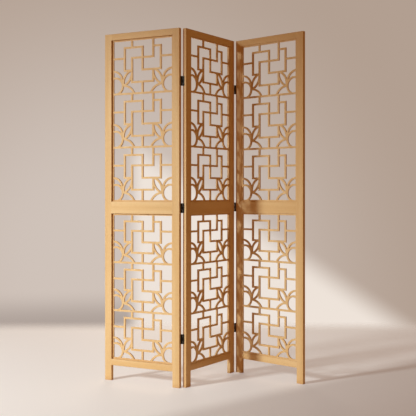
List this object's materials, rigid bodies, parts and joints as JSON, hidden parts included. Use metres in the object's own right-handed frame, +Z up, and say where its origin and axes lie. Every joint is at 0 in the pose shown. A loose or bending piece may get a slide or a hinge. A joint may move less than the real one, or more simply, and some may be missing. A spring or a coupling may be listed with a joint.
{
  "type": "folding screen",
  "caption": "Folding room screen of pale wood: hinged leaves, each a tenoned frame with fretwork panels of square lattice and leaf-shaped arcs.",
  "frame": {"origin": "on the floor, under the middle of the box round the screen as it stands zigzag", "axes": "+X to the right along the screen, +Y away from its front, +Z up"},
  "size_m": [1.0332, 0.3836, 1.8],
  "materials": {
    "stile_wood": "matt oiled, upright grain",
    "rail_wood": "matt oiled, level grain",
    "fretwork_wood": "matt oiled sheet",
    "hinge_black": "satin black",
    "screw_black": "satin black"
  },
  "bodies": {
    "left_leaf": {"left_fold_bottom_hinge_outer_plate": "hinge_black", "left_fold_bottom_hinge_pin": "hinge_black", "left_fold_middle_hinge_outer_plate": "hinge_black", "left_fold_middle_hinge_pin": "hinge_black", "left_fold_outer_screws": "screw_black", "left_fold_top_hinge_outer_plate": "hinge_black", "left_fold_top_hinge_pin": "hinge_black", "left_leaf_bottom_rail": "rail_wood", "left_leaf_left_stile": "stile_wood", "left_leaf_lower_fretwork": "fretwork_wood", "left_leaf_middle_rail": "rail_wood", "left_leaf_right_stile": "stile_wood", "left_leaf_top_rail": "rail_wood", "left_leaf_upper_fretwork": "fretwork_wood"},
    "middle_leaf": {"left_fold_bottom_hinge_middle_plate": "hinge_black", "left_fold_middle_hinge_middle_plate": "hinge_black", "left_fold_middle_screws": "screw_black", "left_fold_top_hinge_middle_plate": "hinge_black", "middle_leaf_bottom_rail": "rail_wood", "middle_leaf_left_stile": "stile_wood", "middle_leaf_lower_fretwork": "fretwork_wood", "middle_leaf_middle_rail": "rail_wood", "middle_leaf_right_stile": "stile_wood", "middle_leaf_top_rail": "rail_wood", "middle_leaf_upper_fretwork": "fretwork_wood", "right_fold_bottom_hinge_middle_plate": "hinge_black", "right_fold_middle_hinge_middle_plate": "hinge_black", "right_fold_middle_screws": "screw_black", "right_fold_top_hinge_middle_plate": "hinge_black"},
    "right_leaf": {"right_fold_bottom_hinge_outer_plate": "hinge_black", "right_fold_bottom_hinge_pin": "hinge_black", "right_fold_middle_hinge_outer_plate": "hinge_black", "right_fold_middle_hinge_pin": "hinge_black", "right_fold_outer_screws": "screw_black", "right_fold_top_hinge_outer_plate": "hinge_black", "right_fold_top_hinge_pin": "hinge_black", "right_leaf_bottom_rail": "rail_wood", "right_leaf_left_stile": "stile_wood", "right_leaf_lower_fretwork": "fretwork_wood", "right_leaf_middle_rail": "rail_wood", "right_leaf_right_stile": "stile_wood", "right_leaf_top_rail": "rail_wood", "right_leaf_upper_fretwork": "fretwork_wood"}
  },
  "joints": [
    {"name": "left_fold", "type": "hinge", "parent": "middle_leaf", "child": "left_leaf", "pos_m": [-0.10898, -0.17307, 0.8985], "axis": [0, 0, 1], "range_deg": [-99, 81]},
    {"name": "right_fold", "type": "hinge", "parent": "middle_leaf", "child": "right_leaf", "pos_m": [0.16813, 0.17736, 0.8985], "axis": [0, 0, 1], "range_deg": [-84, 96]}
  ]
}
